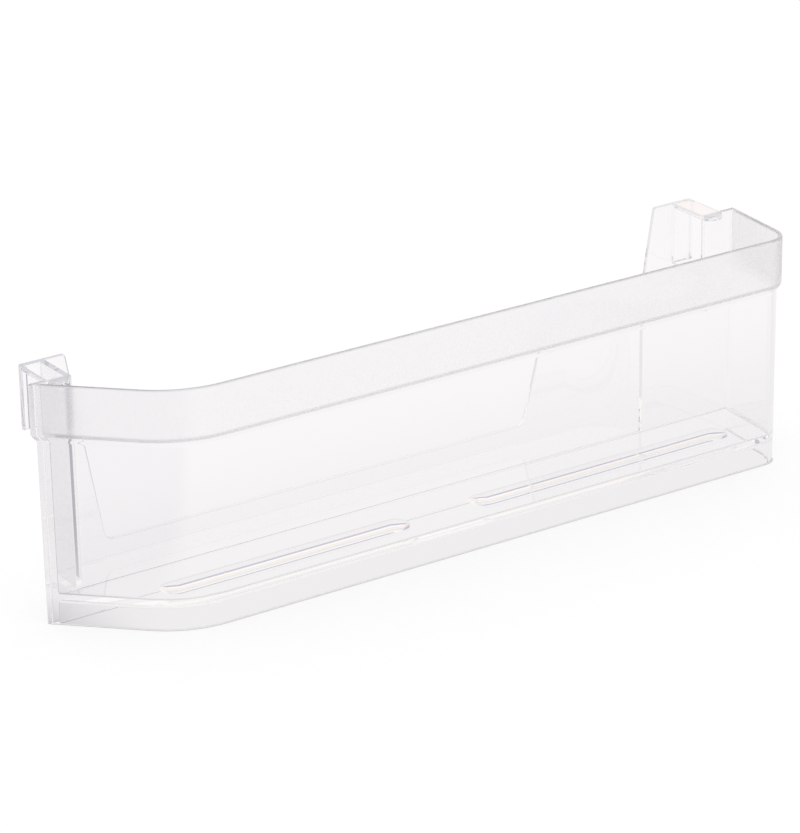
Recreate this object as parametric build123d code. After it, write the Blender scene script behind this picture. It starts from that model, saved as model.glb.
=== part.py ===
from build123d import *
import os
from math import atan2, cos, radians, sin, tan

# Clear door shelf for a refrigerator, moulded in one piece. All sizes are in millimetres.
# X runs along the shelf, +Y points to the door and Z is up.
# The origin is the middle of the shelf's box, on the surface that the shelf stands on.

# Overall size
LENGTH = 443.5          # over the band, from end to end
DEPTH = 83.0            # front of the band to the back of the hook plates
HEIGHT = 131.0

# Walls
WALL = 2.5
DRAFT = 0.35            # degrees, the walls lean outwards to the top
FLOOR_TOP = 15.6        # height of the floor above the bottom edge
FLOOR_THICKNESS = 3.0
FLOOR_FILLET = 1.6
BOTTOM_RADIUS = 0.6     # on the bottom edge of the front wall, outside
RIM_RADIUS = 1.1        # on the band's rim
EDGE_RADIUS = 0.9       # on the free edges of the walls and hooks

# Front wall, seen from above
END_Y = 14.3            # back face of the two end walls
CHAMFER_ANGLE = 45.0    # degrees between the front and the left-hand panel
CHAMFER_RADIUS = 52.0
CORNER_RADIUS = 10.5
END_FLARE = 5.0         # degrees that the right-hand end wall opens to the back

# Frosted band along the rim
BAND_HEIGHT = 27.3
BAND_PROUD = 2.4
STEP_RISE = 4.0
STEP_FOOT_RADIUS = 2.5
STEP_NOSE_RADIUS = 4.0

# Bay behind the end walls
RIGHT_RECESS = 63.2     # from the right-hand end to the bay
BAY_RADIUS = 30.0       # inside the right-hand corner of the bay, at the top
LIP_TOP = 25.0          # low back lip
RIGHT_BACK_TOP = 85.0   # higher stretch of back wall, beside the recess
RIGHT_BACK_WIDTH = 60.4
LEFT_CUT_ANGLE = 10.2   # degrees that the left-hand side of the low stretch leans
RIGHT_CUT_ANGLE = 15.0  # degrees that its right-hand side leans
CUT_RADIUS = 5.0

# Hooks
HOOK_INSET = 9.75       # from the end of the band to the hook's outer face
HOOK_DROP = 34.8        # height of the hook plate
SOCKET_DEPTH = 11.3     # from the hook's outer face to the socket's inner wall
HOOK_PLATE_WIDTH = 26.0
HOOK_FLANGE = 5.0
HOOK_CORNER = 2.0
WING_DROP = 42.5
ROOF_THICKNESS = 2.6
TONGUE_REACH = 3.4      # of the roof past the end wall
TONGUE_RADIUS = 6.0

# Beads on the floor
BEAD_WIDTH = 16.5
BEAD_HEIGHT = 2.2
BEAD_Y = -15.3
BEAD_LEFT_MARGIN = 54.5
BEAD_RIGHT_MARGIN = 28.5
BEAD_GAP = 40.4
BEAD_GAP_X = 2.6

# Working margins
OVERRUN = 14.0          # length that is trimmed off again
NEAR = 0.01             # between an edge and the place where it is looked for

lean = tan(radians(DRAFT))
chamfer = radians(CHAMFER_ANGLE)
flare = radians(END_FLARE)
floor_under = FLOOR_TOP - FLOOR_THICKNESS
band_foot = HEIGHT - BAND_HEIGHT
step_foot = band_foot - STEP_RISE
reach = HEIGHT * lean + BAND_PROUD
front_y = reach - DEPTH / 2
back_y = DEPTH / 2
end_inner_y = END_Y - WALL
hook_x = LENGTH / 2 - HOOK_INSET
socket_x = hook_x - SOCKET_DEPTH
socket_inner_x = socket_x - WALL
bay_right_x = LENGTH / 2 - RIGHT_RECESS
hook_foot = HEIGHT - HOOK_DROP


def left_x(y, out=0.0):
    """X of the left-hand panel's outer face, which stands `out` beyond its bottom edge."""
    return -LENGTH / 2 + (reach - out) / sin(chamfer) + (END_Y - y) / tan(chamfer)


def right_x(y, out=0.0):
    """X of the right-hand end wall's outer face, which stands `out` beyond its bottom edge."""
    return LENGTH / 2 - (reach - out) / cos(flare) - (END_Y - y) * tan(flare)


def outer_line():
    """Outer face of the front wall as (distance out, height) points, from the bottom to the rim."""
    return [
        (0, 0),
        (step_foot * lean, step_foot),
        (band_foot * lean + BAND_PROUD, band_foot),
        (reach, HEIGHT),
    ]


def wall_section():
    """Section of the front wall: skirt, floor joint, step, band and rim."""
    bottom, foot, nose, rim = outer_line()
    step_angle = atan2(nose[0] - foot[0], STEP_RISE)
    shift = WALL * tan(step_angle / 2)
    floor_out = FLOOR_TOP * lean - WALL
    skirt_out = floor_under * lean - WALL
    joint_out = floor_out - 2 * FLOOR_FILLET
    points = [
        bottom,
        foot,
        nose,
        rim,
        (rim[0] - WALL, HEIGHT),
        (nose[0] - WALL, band_foot + shift),
        (foot[0] - WALL, step_foot + shift),
        (floor_out, FLOOR_TOP),
        (joint_out, FLOOR_TOP),
        (joint_out, floor_under),
        (skirt_out, floor_under),
        (skirt_out + floor_under * lean, 0),
    ]
    radii = [
        BOTTOM_RADIUS,
        STEP_FOOT_RADIUS,
        STEP_NOSE_RADIUS,
        RIM_RADIUS,
        RIM_RADIUS,
        STEP_FOOT_RADIUS,
        STEP_NOSE_RADIUS,
        FLOOR_FILLET,
        0,
        0,
        FLOOR_FILLET,
        0,
    ]
    return make_face(FilletPolyline(*points, radius=radii, close=True))


def swept(section, path):
    """A wall whose section is drawn as (distance out, height), with the path's right-hand side out."""
    along = path % 0
    start = Plane(path @ 0, x_dir=(along.Y, -along.X, 0), z_dir=-along)
    return sweep(start * section, path=path, transition=Transition.RIGHT)


def front_wall():
    """The wall section swept along the left-hand panel, the front and the right-hand end."""
    past_end = END_Y + OVERRUN
    path = FilletPolyline(
        (left_x(past_end), past_end),
        (left_x(front_y), front_y),
        (right_x(front_y), front_y),
        (right_x(past_end), past_end),
        radius=[CHAMFER_RADIUS, CORNER_RADIUS],
    )
    wall = swept(wall_section(), path)
    return split(wall, bisect_by=Plane((0, END_Y, 0), z_dir=(0, 1, 0)), keep=Keep.BOTTOM)


def upright(outline, y, thickness):
    """A plate drawn in X and Z, whose back face is at y."""
    return extrude(Plane((0, y, 0), x_dir=(1, 0, 0), z_dir=(0, -1, 0)) * outline, thickness)


def level(outline, z, thickness):
    """A plate drawn in X and Y, whose lower face is at z."""
    return extrude(Pos(0, 0, z) * outline, thickness)


def edges_at(edges, axis, place):
    """Those of the edges whose middle lies at a place on an axis."""
    return edges.filter_by_position(axis, place - NEAR, place + NEAR)


def level_edges(plate, z):
    """The two long edges of a plate at height z, one on each side."""
    return edges_at(plate.edges(), Axis.Z, z).sort_by(SortBy.LENGTH)[-2:]


def end_walls():
    """Both end walls and the skirt that joins them below the floor, as one plate."""
    left_seat = WALL / sin(chamfer) / 2
    right_seat = WALL / cos(flare) / 2
    left_edge = [(left_x(END_Y, out) + left_seat, z) for out, z in outer_line()]
    right_edge = [(right_x(END_Y, out) - right_seat, z) for out, z in outer_line()]
    mid_floor = FLOOR_TOP - FLOOR_THICKNESS / 2
    opening = [
        (-socket_inner_x, HEIGHT),
        (-socket_inner_x, mid_floor),
        (bay_right_x - WALL, mid_floor),
        (bay_right_x - WALL, RIGHT_BACK_TOP),
        (socket_inner_x, RIGHT_BACK_TOP),
        (socket_inner_x, HEIGHT),
    ]
    radii = [0] * 4 + [0, 0, 0, 0, CUT_RADIUS, 0] + [0] * 4
    outline = FilletPolyline(*left_edge, *opening, *reversed(right_edge), radius=radii, close=True)
    return upright(make_face(outline), END_Y, WALL)


def floor():
    """The floor inside the front wall and the end walls."""
    outline = FilletPolyline(
        (left_x(END_Y), END_Y),
        (left_x(front_y), front_y),
        (right_x(front_y), front_y),
        (right_x(END_Y), END_Y),
        radius=[0, CHAMFER_RADIUS, CORNER_RADIUS, 0],
        close=True,
    )
    inside = offset(make_face(outline), -WALL / 2, kind=Kind.INTERSECTION)
    return level(inside, floor_under, FLOOR_THICKNESS)


def bay_path(inset):
    """The bay's outer face at the rim, seen from above and drawn in by `inset`, open to the front."""
    right = bay_right_x - inset
    back = back_y - inset
    left = inset - socket_x
    front = end_inner_y - OVERRUN
    return FilletPolyline(
        (right, front),
        (right, back),
        (left, back),
        (left, front),
        radius=[BAY_RADIUS + WALL - inset, 0],
    )


def back_profile():
    """What stays of the bay's walls, seen from the front: high left, low lip, higher right."""
    plate_edge = HOOK_PLATE_WIDTH - hook_x
    lip_left = plate_edge + (HEIGHT - LIP_TOP) * tan(radians(LEFT_CUT_ANGLE))
    lip_right = bay_right_x - WALL - RIGHT_BACK_WIDTH
    points = [
        (-hook_x, floor_under),
        (-hook_x, HEIGHT),
        (plate_edge, HEIGHT),
        (lip_left, LIP_TOP),
        (lip_right, LIP_TOP),
        (lip_right + (RIGHT_BACK_TOP - LIP_TOP) * tan(radians(RIGHT_CUT_ANGLE)), RIGHT_BACK_TOP),
        (LENGTH / 2, RIGHT_BACK_TOP),
        (LENGTH / 2, floor_under),
    ]
    radii = [0, 0, HOOK_CORNER, CUT_RADIUS, CUT_RADIUS, CUT_RADIUS, 0, 0]
    return make_face(FilletPolyline(*points, radius=radii, close=True))


def bay():
    """The part of the shelf that reaches back between the door's side ridges."""
    foot_in = (HEIGHT - floor_under) * lean
    section = make_face(Polyline(
        (-foot_in, floor_under),
        (0, HEIGHT),
        (-WALL, HEIGHT),
        (-WALL - foot_in, floor_under),
        close=True,
    ))
    walls = swept(section, bay_path(0)) & upright(back_profile(), back_y, DEPTH)
    walls = fillet(level_edges(walls, LIP_TOP), EDGE_RADIUS)
    mid_wall = bay_path(WALL / 2 + foot_in)
    base = level(make_face(mid_wall + Line(mid_wall @ 1, mid_wall @ 0)), floor_under, FLOOR_THICKNESS)
    return split(walls + base, bisect_by=Plane((0, end_inner_y, 0), z_dir=(0, 1, 0)), keep=Keep.TOP)


def back_plate(outline):
    """A plate in line with the bay's back wall, with the same draft."""
    foot_y = back_y - HEIGHT * lean
    slab = make_face(Polyline(
        (foot_y, 0),
        (back_y, HEIGHT),
        (back_y - WALL, HEIGHT),
        (foot_y - WALL, 0),
        close=True,
    ))
    run = extrude(Plane((-LENGTH / 2, 0, 0), x_dir=(0, 1, 0), z_dir=(1, 0, 0)) * slab, LENGTH)
    return run & upright(outline, back_y, DEPTH)


def hook():
    """Right-hand hook: roof with its tongue, back plate and outer flange round the socket."""
    tongue_y = end_inner_y - TONGUE_REACH
    tongue_root_y = tongue_y + TONGUE_RADIUS + EDGE_RADIUS
    mid_wall_x = socket_x - WALL / 2
    mid_plate_y = back_y - WALL / 2
    roof_outline = FilletPolyline(
        (socket_inner_x, tongue_y),
        (hook_x, tongue_y),
        (hook_x, mid_plate_y),
        (mid_wall_x, mid_plate_y),
        (mid_wall_x, tongue_root_y),
        (socket_inner_x, tongue_root_y),
        radius=[TONGUE_RADIUS, TONGUE_RADIUS, 0, 0, 0, 0],
        close=True,
    )
    roof = level(make_face(roof_outline), HEIGHT - ROOF_THICKNESS, ROOF_THICKNESS)
    plate_outline = FilletPolyline(
        (mid_wall_x, hook_foot),
        (hook_x, hook_foot),
        (hook_x, HEIGHT),
        (mid_wall_x, HEIGHT),
        radius=[0, HOOK_CORNER, 0, 0],
        close=True,
    )
    plate = back_plate(make_face(plate_outline))
    flange_y = back_y - HOOK_FLANGE
    flange_outline = FilletPolyline(
        (flange_y, hook_foot),
        (mid_plate_y - HOOK_DROP * lean, hook_foot),
        (mid_plate_y, HEIGHT),
        (flange_y, HEIGHT),
        radius=[HOOK_CORNER, 0, 0, 0],
        close=True,
    )
    flange_plane = Plane((hook_x - WALL, 0, 0), x_dir=(0, 1, 0), z_dir=(1, 0, 0))
    flange = extrude(flange_plane * make_face(flange_outline), WALL)
    body = roof + plate + flange
    top = edges_at(body.edges(), Axis.Z, HEIGHT)
    outside = edges_at(body.edges(), Axis.X, hook_x)
    corner = outside.sort_by(SortBy.LENGTH)[-1:]
    rim = edges_at(top, Axis.X, hook_x) + edges_at(top, Axis.Y, back_y)
    return fillet(rim + corner, EDGE_RADIUS)


def right_wing():
    """Socket wall and inward wing of the right-hand hook, which stands clear of the bay."""
    slope = tan(radians(LEFT_CUT_ANGLE))
    wing_foot = HEIGHT - WING_DROP
    wing_x = hook_x - HOOK_PLATE_WIDTH
    wing_outline = FilletPolyline(
        (wing_x, HEIGHT),
        (wing_x - WING_DROP * slope, wing_foot),
        (socket_x, wing_foot),
        (socket_x, HEIGHT),
        radius=[HOOK_CORNER, CUT_RADIUS, CUT_RADIUS, 0],
        close=True,
    )
    wing = back_plate(make_face(wing_outline))
    wing = fillet(level_edges(wing, wing_foot), EDGE_RADIUS)
    mid_end_y = END_Y - WALL / 2
    socket_wall = Pos(socket_inner_x, mid_end_y, hook_foot) * Box(
        WALL, back_y - WALL / 2 - mid_end_y, HOOK_DROP, align=Align.MIN
    )
    rim = socket_wall.edges().filter_by(Axis.Y).group_by(Axis.Z)[-1].sort_by(Axis.X)[0]
    return wing + fillet(rim, EDGE_RADIUS)


def bead(start_x, end_x):
    """A low rounded ridge on the floor with domed ends, for bottles to stand on."""
    half = BEAD_WIDTH / 2
    root = -FLOOR_THICKNESS / 2
    crown = ThreePointArc((-half, 0), (0, BEAD_HEIGHT), (half, 0))
    foot = Polyline((half, 0), (half, root), (-half, root), (-half, 0))
    section = make_face(crown + foot)
    across = Plane((0, 0, 0), x_dir=(0, 1, 0), z_dir=(1, 0, 0))
    run = extrude(across * section, end_x - start_x - BEAD_WIDTH)
    dome = revolve(Plane.XZ * split(section, bisect_by=Plane.YZ, keep=Keep.TOP), axis=Axis.Z)
    seat = Pos(start_x + half, BEAD_Y, FLOOR_TOP)
    far_seat = Pos(end_x - half, BEAD_Y, FLOOR_TOP)
    return seat * run + seat * dome + far_seat * dome


def beads():
    """Two beads in line, with a gap between them."""
    left = bead(BEAD_LEFT_MARGIN - LENGTH / 2, BEAD_GAP_X - BEAD_GAP / 2)
    right = bead(BEAD_GAP_X + BEAD_GAP / 2, LENGTH / 2 - BEAD_RIGHT_MARGIN)
    return left + right


right_hook = hook()
shelf = front_wall() + end_walls() + floor() + bay()
shelf = shelf + right_hook + mirror(right_hook, about=Plane.YZ) + right_wing()
shelf = shelf + beads()

os.makedirs("parts", exist_ok=True)
export_step(shelf, "parts/door_shelf.step")
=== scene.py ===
import math

import bpy
from mathutils import Matrix, Vector

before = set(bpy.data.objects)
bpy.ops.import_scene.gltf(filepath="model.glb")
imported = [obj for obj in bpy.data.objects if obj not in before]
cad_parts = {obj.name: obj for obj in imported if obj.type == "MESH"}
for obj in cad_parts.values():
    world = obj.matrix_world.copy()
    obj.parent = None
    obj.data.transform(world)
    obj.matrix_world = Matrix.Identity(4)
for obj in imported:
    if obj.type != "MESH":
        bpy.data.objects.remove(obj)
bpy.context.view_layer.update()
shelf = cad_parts["door_shelf"]

WHITE = (1.0, 1.0, 1.0, 1.0)
BLACK = (0.0, 0.0, 0.0, 1.0)

# Camera of the photograph, as fitted to the shelf's edges. Angles are in degrees.
IMAGE_WIDTH, IMAGE_HEIGHT = 800, 833
FOCAL_PIXELS = 4103.9
CAMERA_PLACE = (-1.11754, -1.64830, 0.87529)
CAMERA_AZIMUTH = 33.886
CAMERA_ELEVATION = 22.134
CAMERA_ROLL = -0.91
SENSOR_WIDTH = 36.0
CLIP_END = 100.0

# Pairs of limits are where a smooth step starts and where it ends. Places are in metres.

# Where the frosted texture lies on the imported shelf.
FROST_FOOT = (0.1027, 0.1031)       # height, under the band's nose
FROST_END = (0.0142, 0.0140)        # Y, before the back face of the end walls
FROST_OUTSIDE = (0.0, 0.005)        # outward normal times place, above 0 outside the trough
RIM_TILT = (0.05, 0.2)              # upward part of the normal on the rim's rounding
RIM_END = (0.0082, 0.0078)          # Y, where the frosted rim stops
BACK_TILT = (0.98, 0.9)             # part of the normal towards the door, on faces left clear

# Surface of the plastic.
IOR = 1.57
NOISE_RANGE = (0.3, 0.7)
GRAIN_SCALE = 2600.0                # fine grain of the frosted texture
GRAIN_DETAIL = 2.0
FROST_ROUGHNESS = (0.26, 0.34)
FLOW_SCALE = 9.0                    # slow waves of a moulded surface
FLOW_DETAIL = 1.0
POLISH_ROUGHNESS = (0.004, 0.02)
WAVE_STRENGTH = 0.05
WAVE_HEIGHT = 0.001
EASED_RADIUS = 0.0004               # sharp edges, rounded in the shading only
EASED_SAMPLES = 4

# Painted glow: tone of the light taken to be still inside the plastic after the last turn that is followed;
# cream in the floor, greyer in the walls, and darker at the left end as painted shade.
MOST_TURNS = 16
PIPED = (1.0, 0.97, 0.94, 1.0)
PIPED_WALLS = (0.80, 0.79, 0.82, 1.0)
PIPED_LEFT_SHADED = (0.62, 0.62, 0.68, 1.0)
WALLS_FOOT = (0.0185, 0.0205)       # height at which the floor's tone gives way to the walls'
LEFT_END_X = (-0.14, -0.17)
LEFT_END_TOP = (0.095, 0.09)

# The surroundings, as the plastic mirrors and shows them. Directions have a length of 1.
BACKDROP = (0.962, 0.945, 0.955, 1.0)
SKY = (1.0, 0.99, 0.995, 1.0)
ROOM = (0.42, 0.415, 0.46, 1.0)
ROOM_FRONT = (-0.3, -0.8)           # direction's Y
ROOM_LEFT = (0.25, -0.5)            # direction's X
ROOM_LEFT_SHARE = 0.9
HORIZON = (0.0, -0.02)              # direction's Z
STEEP = (-0.45, -0.85)              # direction's Z, where the backdrop takes on some of the room's tone
STEEP_SHARE = 0.2
DIFFUSE_LEVEL = 0.9
# Bands around the sky, which draw the lines on the beads: lowest and highest Z of the direction, and tone.
SKY_BANDS = (
    (0.02, 0.10, (0.62, 0.60, 0.63, 1.0)),
    (0.23, 0.33, (1.0, 0.82, 0.66, 1.0)),
    (0.48, 0.58, (0.48, 0.47, 0.57, 1.0)),
)
BAND_EDGE = 0.015

# The table, which lies just under the shelf.
TABLE_REACH = 12.0
TABLE_Z = -0.0002
TABLE_COLOUR = (0.22, 0.22, 0.22, 1.0)
TABLE_GLOW = 0.82                   # brings the table up to white for the camera
# Painted contact shadow: the dark line where the shelf stands on the table, found by how open the table's
# sky is.
CONTACT_SHADOW_SHARE = 0.6
CONTACT_REACH = 0.0008
CONTACT_SAMPLES = 8
UNDER_SHELF = (0.2, 0.45)
OPEN_TABLE = (1.0, 0.6)
CONTACT_BACK = (0.036, 0.030)       # Y
# Painted shade on the table behind the plastic, by place: the shelf's shadow, darker near the shelf and
# lighter further back, and darker to the left.
NEAR_SHADOW_TONE = 0.90
SHADOW_NEAR_TO_FAR = (-0.03, 0.19)         # Y
LEFT_TABLE_SHADE = (-0.17, -0.25)         # X
LEFT_TABLE_SHADE_SHARE = 0.9


class Nodes:
    """Adds shader nodes to one tree in short lines."""

    def __init__(self, tree):
        self.tree = tree
        tree.nodes.clear()

    def add(self, kind, _settings=None, **inputs):
        node = self.tree.nodes.new(kind)
        for name, value in (_settings or {}).items():
            setattr(node, name, value)
        for name, value in inputs.items():
            self.put(node, name.replace("_", " ").title(), value)
        return node

    def put(self, node, name, value):
        socket = node.inputs[name]
        if isinstance(value, bpy.types.NodeSocket):
            self.tree.links.new(value, socket)
        else:
            socket.default_value = value

    def math(self, operation, a, b):
        node = self.tree.nodes.new("ShaderNodeMath")
        node.operation = operation
        for index, value in enumerate((a, b)):
            self.put(node, index, value)
        return node.outputs[0]

    def product(self, first, *others):
        for other in others:
            first = self.math("MULTIPLY", first, other)
        return first

    def opposite(self, value):
        return self.math("SUBTRACT", 1.0, value)

    def mix(self, factor, a, b):
        """Colour a, or b where factor is 1."""
        node = self.tree.nodes.new("ShaderNodeMix")
        node.data_type = "RGBA"
        for index, value in ((0, factor), (6, a), (7, b)):
            self.put(node, index, value)
        return node.outputs[2]

    def step(self, value, limits, out_start=0.0, out_end=1.0):
        """Smooth step of value between two limits."""
        node = self.tree.nodes.new("ShaderNodeMapRange")
        node.interpolation_type = "SMOOTHSTEP"
        for index, item in enumerate((value, *limits, out_start, out_end)):
            self.put(node, index, item)
        return node.outputs[0]


def outward_normal(n):
    """The surface's normal out of the plastic, also for a ray that meets it from inside."""
    geometry = n.add("ShaderNodeNewGeometry")
    side = n.add("ShaderNodeMapRange", Value=geometry.outputs["Backfacing"], To_Min=1.0, To_Max=-1.0)
    outward = n.add("ShaderNodeVectorMath", {"operation": "SCALE"}, Scale=side.outputs[0])
    n.put(outward, 0, geometry.outputs["Normal"])
    return outward.outputs[0]


def frosted_part(n, coords, place):
    """1 on the outside of the rim band and on its rim, 0 elsewhere."""
    outward = outward_normal(n)
    facing = n.add("ShaderNodeSeparateXYZ", Vector=outward)
    from_middle = n.add("ShaderNodeVectorMath", {"operation": "DOT_PRODUCT"})
    n.put(from_middle, 0, outward)
    n.put(from_middle, 1, coords)
    on_rim = n.product(
        n.step(facing.outputs["Z"], RIM_TILT),
        n.step(place.outputs["Y"], RIM_END),
    )
    outside = n.step(from_middle.outputs["Value"], FROST_OUTSIDE)
    return n.product(
        n.step(place.outputs["Z"], FROST_FOOT),
        n.step(place.outputs["Y"], FROST_END),
        n.math("MAXIMUM", outside, on_rim),
        n.step(facing.outputs["Y"], BACK_TILT),
    )


def painted_piped_glow(n, place):
    """Painted glow standing in for the light that the plastic pipes along, by place, with painted shade at
    the left end.
    """
    in_walls = n.step(place.outputs["Z"], WALLS_FOOT)
    # Painted shade: the glow is darker at the left end of the shelf.
    painted_shade_left_end = n.product(
        n.step(place.outputs["X"], LEFT_END_X),
        n.step(place.outputs["Z"], LEFT_END_TOP),
    )
    return n.mix(painted_shade_left_end, n.mix(in_walls, PIPED, PIPED_WALLS), PIPED_LEFT_SHADED)


def clear_plastic():
    """Clear styrene: glossy, with a fine frosted texture outside the rim band, and a painted glow where a
    path runs out of turns.
    """
    material = bpy.data.materials.new("clear_plastic")
    material.use_nodes = True
    n = Nodes(material.node_tree)
    coords = n.add("ShaderNodeTexCoord").outputs["Object"]
    place = n.add("ShaderNodeSeparateXYZ", Vector=coords)

    grain = n.add("ShaderNodeTexNoise", Vector=coords, Scale=GRAIN_SCALE, Detail=GRAIN_DETAIL)
    flow = n.add("ShaderNodeTexNoise", Vector=coords, Scale=FLOW_SCALE, Detail=FLOW_DETAIL)
    roughness = n.add("ShaderNodeMix", {"data_type": "FLOAT"})
    n.put(roughness, 0, frosted_part(n, coords, place))
    n.put(roughness, 2, n.step(flow.outputs["Fac"], NOISE_RANGE, *POLISH_ROUGHNESS))
    n.put(roughness, 3, n.step(grain.outputs["Fac"], NOISE_RANGE, *FROST_ROUGHNESS))
    eased = n.add("ShaderNodeBevel", {"samples": EASED_SAMPLES}, Radius=EASED_RADIUS)
    wave = n.add(
        "ShaderNodeBump",
        Height=flow.outputs["Fac"],
        Strength=WAVE_STRENGTH,
        Distance=WAVE_HEIGHT,
        Normal=eased.outputs[0],
    )

    plastic = n.add(
        "ShaderNodeBsdfPrincipled",
        base_color=WHITE,
        roughness=roughness.outputs[0],
        transmission_weight=1.0,
        normal=wave.outputs[0],
        emission_color=painted_piped_glow(n, place),
    )
    plastic.inputs["IOR"].default_value = IOR
    # A path's last hit is one deeper than the number of turns, so each path gets this painted glow once at
    # most.
    turns = n.add("ShaderNodeLightPath").outputs["Ray Depth"]
    n.put(plastic, "Emission Strength", n.math("GREATER_THAN", turns, MOST_TURNS + 0.5))
    n.add("ShaderNodeOutputMaterial", surface=plastic.outputs[0])
    material.cycles.emission_sampling = "NONE"
    return material


def seen(n):
    """Two values: 1 for the camera's own rays, and 1 for rays that the plastic mirrors or lets through."""
    path = n.add("ShaderNodeLightPath")
    mirrored = n.math("MAXIMUM", path.outputs["Is Glossy Ray"], path.outputs["Is Transmission Ray"])
    return path.outputs["Is Camera Ray"], mirrored


def painted_contact_shadow(n, place):
    """1 on the open table, less where the front of the shelf stands on it: a painted contact shadow."""
    touching = n.add("ShaderNodeAmbientOcclusion", {"samples": CONTACT_SAMPLES}, Distance=CONTACT_REACH)
    open_share = touching.outputs["AO"]
    painted_shadow = n.product(
        n.step(open_share, UNDER_SHELF),
        n.step(open_share, OPEN_TABLE),
        n.step(place.outputs["Y"], CONTACT_BACK),
        CONTACT_SHADOW_SHARE,
    )
    return n.opposite(painted_shadow)


def studio_table():
    """Large white table top that keeps the shelf's soft shadow.

    Rays from the plastic go on through it to the lower half of the surroundings, darkened by place with
    painted shade: the shelf's shadow, the contact line and a darker left side.
    """
    mesh = bpy.data.meshes.new("floor")
    reach = TABLE_REACH
    outline = ((-reach, -reach), (reach, -reach), (reach, reach), (-reach, reach))
    mesh.from_pydata([(x, y, TABLE_Z) for x, y in outline], [], [(0, 1, 2, 3)])
    floor = bpy.data.objects.new("floor", mesh)
    bpy.context.scene.collection.objects.link(floor)
    material = bpy.data.materials.new("floor")
    material.use_nodes = True
    n = Nodes(material.node_tree)
    straight, mirrored = seen(n)
    position = n.add("ShaderNodeNewGeometry").outputs["Position"]
    place = n.add("ShaderNodeSeparateXYZ", Vector=position)
    contact_shadow = painted_contact_shadow(n, place)

    table = n.add("ShaderNodeBsdfDiffuse", color=TABLE_COLOUR)
    # The table's glow is darkened by the painted contact shadow.
    glow = n.add("ShaderNodeEmission", color=WHITE, strength=n.product(straight, TABLE_GLOW, contact_shadow))
    lit = n.add("ShaderNodeAddShader")
    n.put(lit, 0, table.outputs[0])
    n.put(lit, 1, glow.outputs[0])

    # Painted shade for rays from the plastic: darker to the left, darker near the shelf and along its foot.
    painted_left_shade = n.step(place.outputs["X"], LEFT_TABLE_SHADE, 0.0, LEFT_TABLE_SHADE_SHARE)
    tone = n.product(contact_shadow, n.step(place.outputs["Y"], SHADOW_NEAR_TO_FAR, NEAR_SHADOW_TONE, 1.0))
    painted_shade_veil = n.mix(n.opposite(tone), n.mix(painted_left_shade, WHITE, ROOM), BLACK)
    through = n.add("ShaderNodeBsdfTransparent", color=painted_shade_veil)
    both = n.add("ShaderNodeMixShader")
    n.put(both, 0, mirrored)
    n.put(both, 1, lit.outputs[0])
    n.put(both, 2, through.outputs[0])
    n.add("ShaderNodeOutputMaterial", surface=both.outputs[0])
    mesh.materials.append(material)


def studio_world():
    """White for the camera. The plastic meets a toned backdrop below, and a banded sky and a room above."""
    world = bpy.data.worlds.new("studio")
    bpy.context.scene.world = world
    world.use_nodes = True
    n = Nodes(world.node_tree)
    generated = n.add("ShaderNodeTexCoord").outputs["Generated"]
    direction = n.add("ShaderNodeSeparateXYZ", Vector=generated)
    height = direction.outputs["Z"]

    sky = SKY
    for low, high, tone in SKY_BANDS:
        inside = n.product(
            n.step(height, (low - BAND_EDGE, low + BAND_EDGE)),
            n.step(height, (high + BAND_EDGE, high - BAND_EDGE)),
        )
        sky = n.mix(inside, sky, tone)
    in_room = n.math(
        "MAXIMUM",
        n.step(direction.outputs["Y"], ROOM_FRONT),
        n.step(direction.outputs["X"], ROOM_LEFT, 0.0, ROOM_LEFT_SHARE),
    )
    above = n.mix(in_room, sky, ROOM)
    below = n.mix(n.step(height, STEEP, 0.0, STEEP_SHARE), BACKDROP, ROOM)
    around = n.mix(n.step(height, HORIZON), above, below)

    straight, mirrored = seen(n)
    shown = n.math("MAXIMUM", straight, mirrored)
    light = n.add(
        "ShaderNodeBackground",
        color=n.mix(mirrored, WHITE, around),
        strength=n.step(shown, (0.0, 1.0), DIFFUSE_LEVEL, 1.0),
    )
    n.add("ShaderNodeOutputWorld", surface=light.outputs[0])


def photo_camera():
    """The camera at the photograph's viewing angle."""
    azimuth = math.radians(CAMERA_AZIMUTH)
    elevation = math.radians(CAMERA_ELEVATION)
    roll = math.radians(CAMERA_ROLL)
    forward = Vector((
        math.sin(azimuth) * math.cos(elevation),
        math.cos(azimuth) * math.cos(elevation),
        -math.sin(elevation),
    ))
    level = Vector((math.cos(azimuth), -math.sin(azimuth), 0.0))
    up = level.cross(forward)
    right = math.cos(roll) * level + math.sin(roll) * up
    up = math.cos(roll) * up - math.sin(roll) * level
    data = bpy.data.cameras.new("camera")
    data.sensor_width = SENSOR_WIDTH
    data.lens = FOCAL_PIXELS / max(IMAGE_WIDTH, IMAGE_HEIGHT) * SENSOR_WIDTH
    data.clip_end = CLIP_END
    camera = bpy.data.objects.new("camera", data)
    bpy.context.scene.collection.objects.link(camera)
    turn = Matrix((right, up, -forward)).transposed().to_4x4()
    camera.matrix_world = Matrix.Translation(CAMERA_PLACE) @ turn
    bpy.context.scene.camera = camera


shelf.data.materials.clear()
shelf.data.materials.append(clear_plastic())
studio_table()
studio_world()
photo_camera()
scene = bpy.context.scene
scene.view_settings.view_transform = "Standard"
scene.cycles.max_bounces = MOST_TURNS
scene.cycles.glossy_bounces = MOST_TURNS
scene.cycles.transmission_bounces = MOST_TURNS
